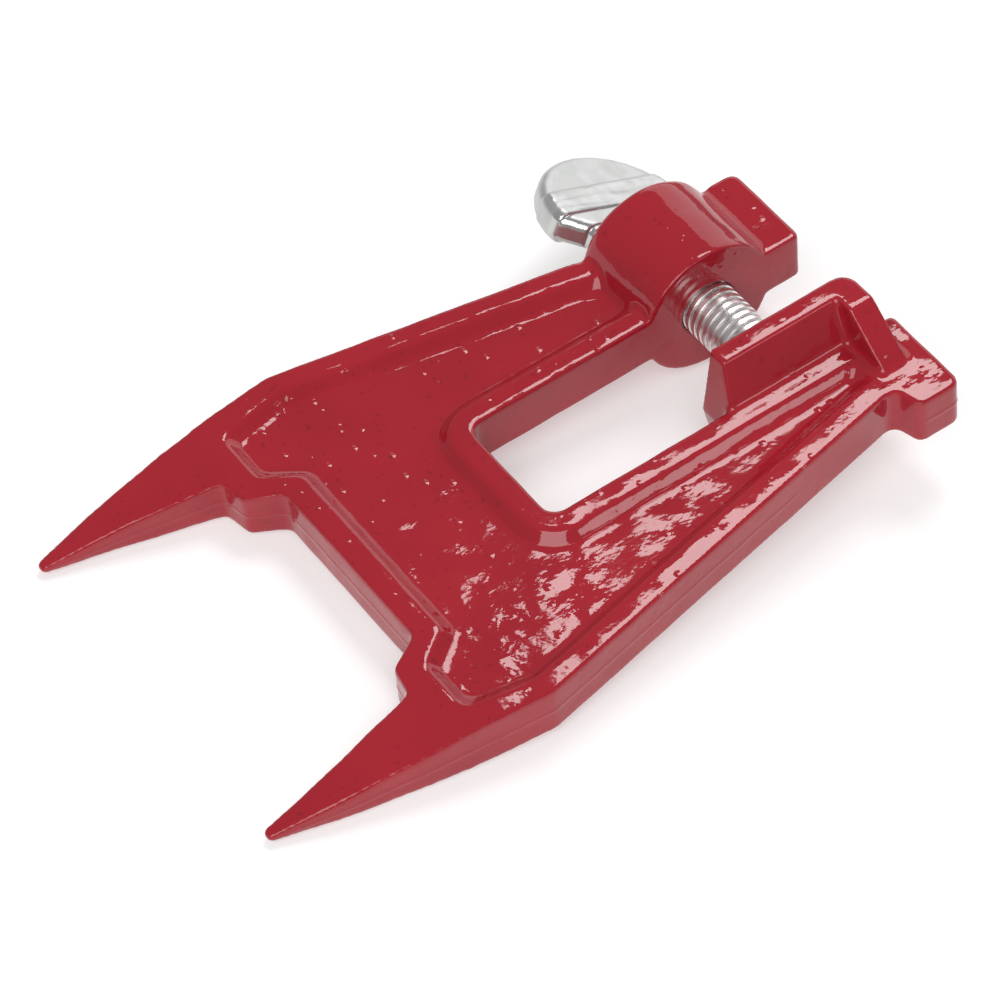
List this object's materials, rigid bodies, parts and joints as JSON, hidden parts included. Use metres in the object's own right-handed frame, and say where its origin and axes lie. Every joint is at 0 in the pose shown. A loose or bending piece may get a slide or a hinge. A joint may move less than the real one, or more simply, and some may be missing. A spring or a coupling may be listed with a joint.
{
  "type": "stump vise",
  "caption": "Cast iron stump vise with two spikes, a deep throat, a fixed jaw and a thumbscrew that clamps a saw's guide bar for filing.",
  "frame": {"origin": "where the screw's axis meets the fixed jaw's face", "axes": "+X from the screw into the fixed jaw, +Y from the spikes to the strike pads, +Z square to the plate, whose middle is z = 0"},
  "size_m": [0.092, 0.136, 0.0252],
  "materials": {
    "enamel": "glossy dark red enamel on a pebbled casting",
    "plated_screw": "bright zinc plate",
    "head_metal": "satin, as cast and plated"
  },
  "bodies": {
    "vise_body": {"casting": "enamel"},
    "screw_end": {"screw_nose": "plated_screw"},
    "thumbscrew": {"screw_rod": "plated_screw", "thumb_head": "head_metal"}
  },
  "joints": [
    {"name": "screw_travel", "type": "slide", "parent": "vise_body", "child": "screw_end", "axis": [1, 0, 0], "range_m": [-0.015, 0.0009]},
    {"name": "screw_turn", "type": "hinge", "parent": "screw_end", "child": "thumbscrew", "pos_m": [0, 0, 0], "axis": [1, 0, 0], "range_deg": [-3600, 216]}
  ],
  "couplings": [
    {"joint": "screw_turn", "follows": "screw_travel", "rad_per_m": 4188.8}
  ]
}
